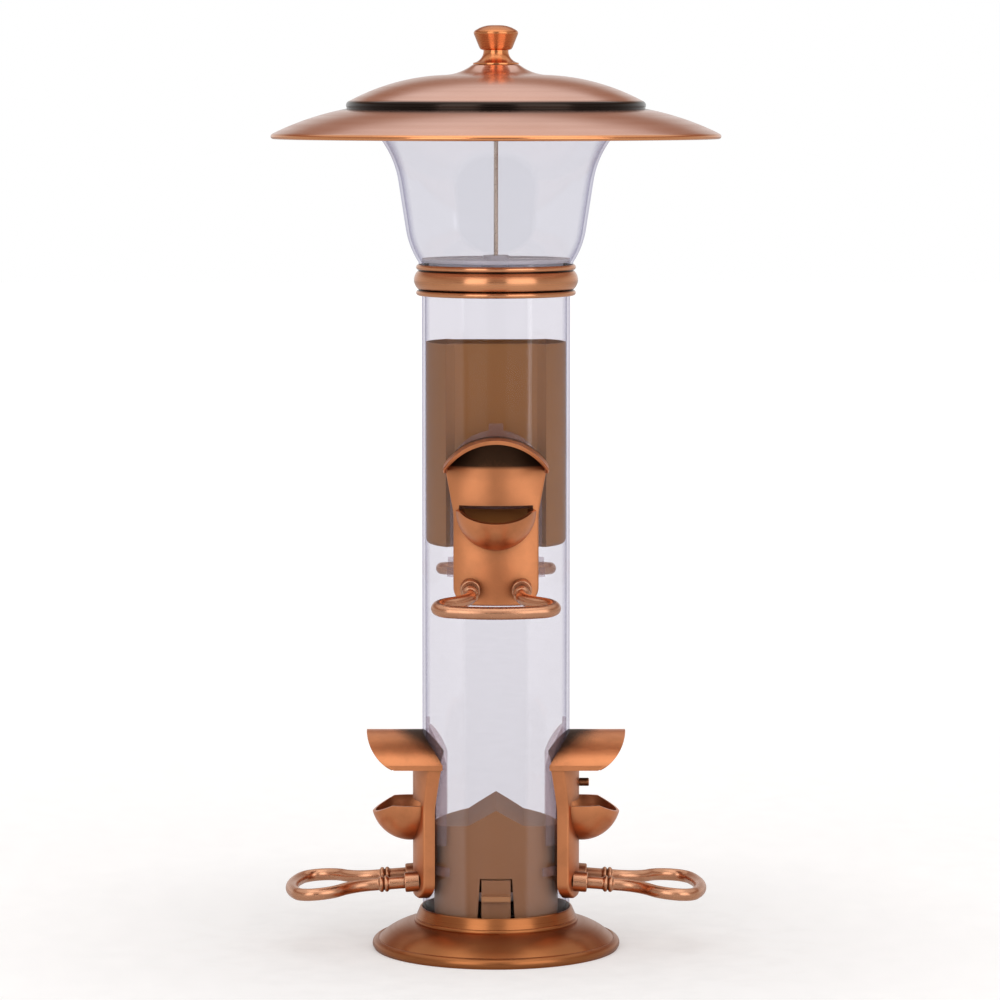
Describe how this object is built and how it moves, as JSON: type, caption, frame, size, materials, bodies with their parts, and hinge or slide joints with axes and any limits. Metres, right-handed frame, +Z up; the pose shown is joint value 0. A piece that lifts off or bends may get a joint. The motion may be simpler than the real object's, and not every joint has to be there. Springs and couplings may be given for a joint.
{
  "type": "bird feeder",
  "caption": "Tube bird feeder with a flared hopper, a wide spun lid, hooded seed ports, loop perches and a round pole-ready foot.",
  "frame": {"origin": "centre of the foot's underside, on the surface that the feeder stands on", "axes": "+Z up along the tube; the front middle port faces -Y; the lower ports face +X and -X"},
  "size_m": [0.23, 0.23, 0.4752],
  "materials": {
    "lid_copper": "spun satin copper",
    "ring_copper": "polished copper",
    "knob_copper": "brushed copper",
    "port_copper": "antique brushed copper plating with dark recesses",
    "perch_copper": "antique brushed copper plating",
    "foot_copper": "satin brown copper",
    "clear_plastic": "clear polycarbonate",
    "baffle_plastic": "brown, satin",
    "deflector_plastic": "taupe brown, satin",
    "dark_plastic": "dark brown",
    "cable_brass": "bright twisted wire",
    "screw_steel": "plain steel"
  },
  "bodies": {
    "foot": {"base_foot": "foot_copper", "foot_screws": "screw_steel", "bottom_deflector": "deflector_plastic"},
    "tongue_front": {"latch_tongue_front": "deflector_plastic"},
    "tongue_back": {"latch_tongue_back": "deflector_plastic"},
    "tube": {"seed_tube": "clear_plastic", "collar_ring": "ring_copper", "flared_hopper": "clear_plastic", "cable_spider": "clear_plastic", "cable_stop": "cable_brass", "hanger_cable": "cable_brass", "cable_stud": "screw_steel", "mid_baffle_sleeve": "baffle_plastic", "mid_baffle_shelves": "baffle_plastic", "thumb_peg": "port_copper", "port_body_front": "port_copper", "port_retainer_front": "clear_plastic", "port_screws_front": "screw_steel", "perch_sockets_front": "perch_copper", "perch_loop_front": "perch_copper", "port_body_back": "port_copper", "port_retainer_back": "clear_plastic", "port_screws_back": "screw_steel", "perch_sockets_back": "perch_copper", "perch_loop_back": "perch_copper", "port_body_left": "port_copper", "port_retainer_left": "clear_plastic", "port_screws_left": "screw_steel", "perch_sockets_left": "perch_copper", "perch_loop_left": "perch_copper", "port_body_right": "port_copper", "port_retainer_right": "clear_plastic", "port_screws_right": "screw_steel", "perch_sockets_right": "perch_copper", "perch_loop_right": "perch_copper"},
    "lid": {"lid_shell": "lid_copper", "lid_locating_ring": "dark_plastic"},
    "knob": {"lid_knob": "knob_copper"}
  },
  "joints": [
    {"name": "tongue_front_press", "type": "hinge", "parent": "foot", "child": "tongue_front", "pos_m": [0, -0.0311, 0.04], "axis": [1, 0, 0], "range_deg": [0, 10], "stiffness_Nm_per_rad": 0.5},
    {"name": "tongue_back_press", "type": "hinge", "parent": "foot", "child": "tongue_back", "pos_m": [0, 0.0311, 0.04], "axis": [-1, 0, 0], "range_deg": [0, 10], "stiffness_Nm_per_rad": 0.5},
    {"name": "tube_lift", "type": "slide", "parent": "foot", "child": "tube", "axis": [0, 0, 1], "range_m": [0, 0.08]},
    {"name": "lid_lift", "type": "slide", "parent": "tube", "child": "lid", "axis": [0, 0, 1], "range_m": [0, 0.08]},
    {"name": "knob_turn", "type": "hinge", "parent": "lid", "child": "knob", "pos_m": [0, 0, 0.465], "axis": [0, 0, 1], "continuous": true}
  ]
}
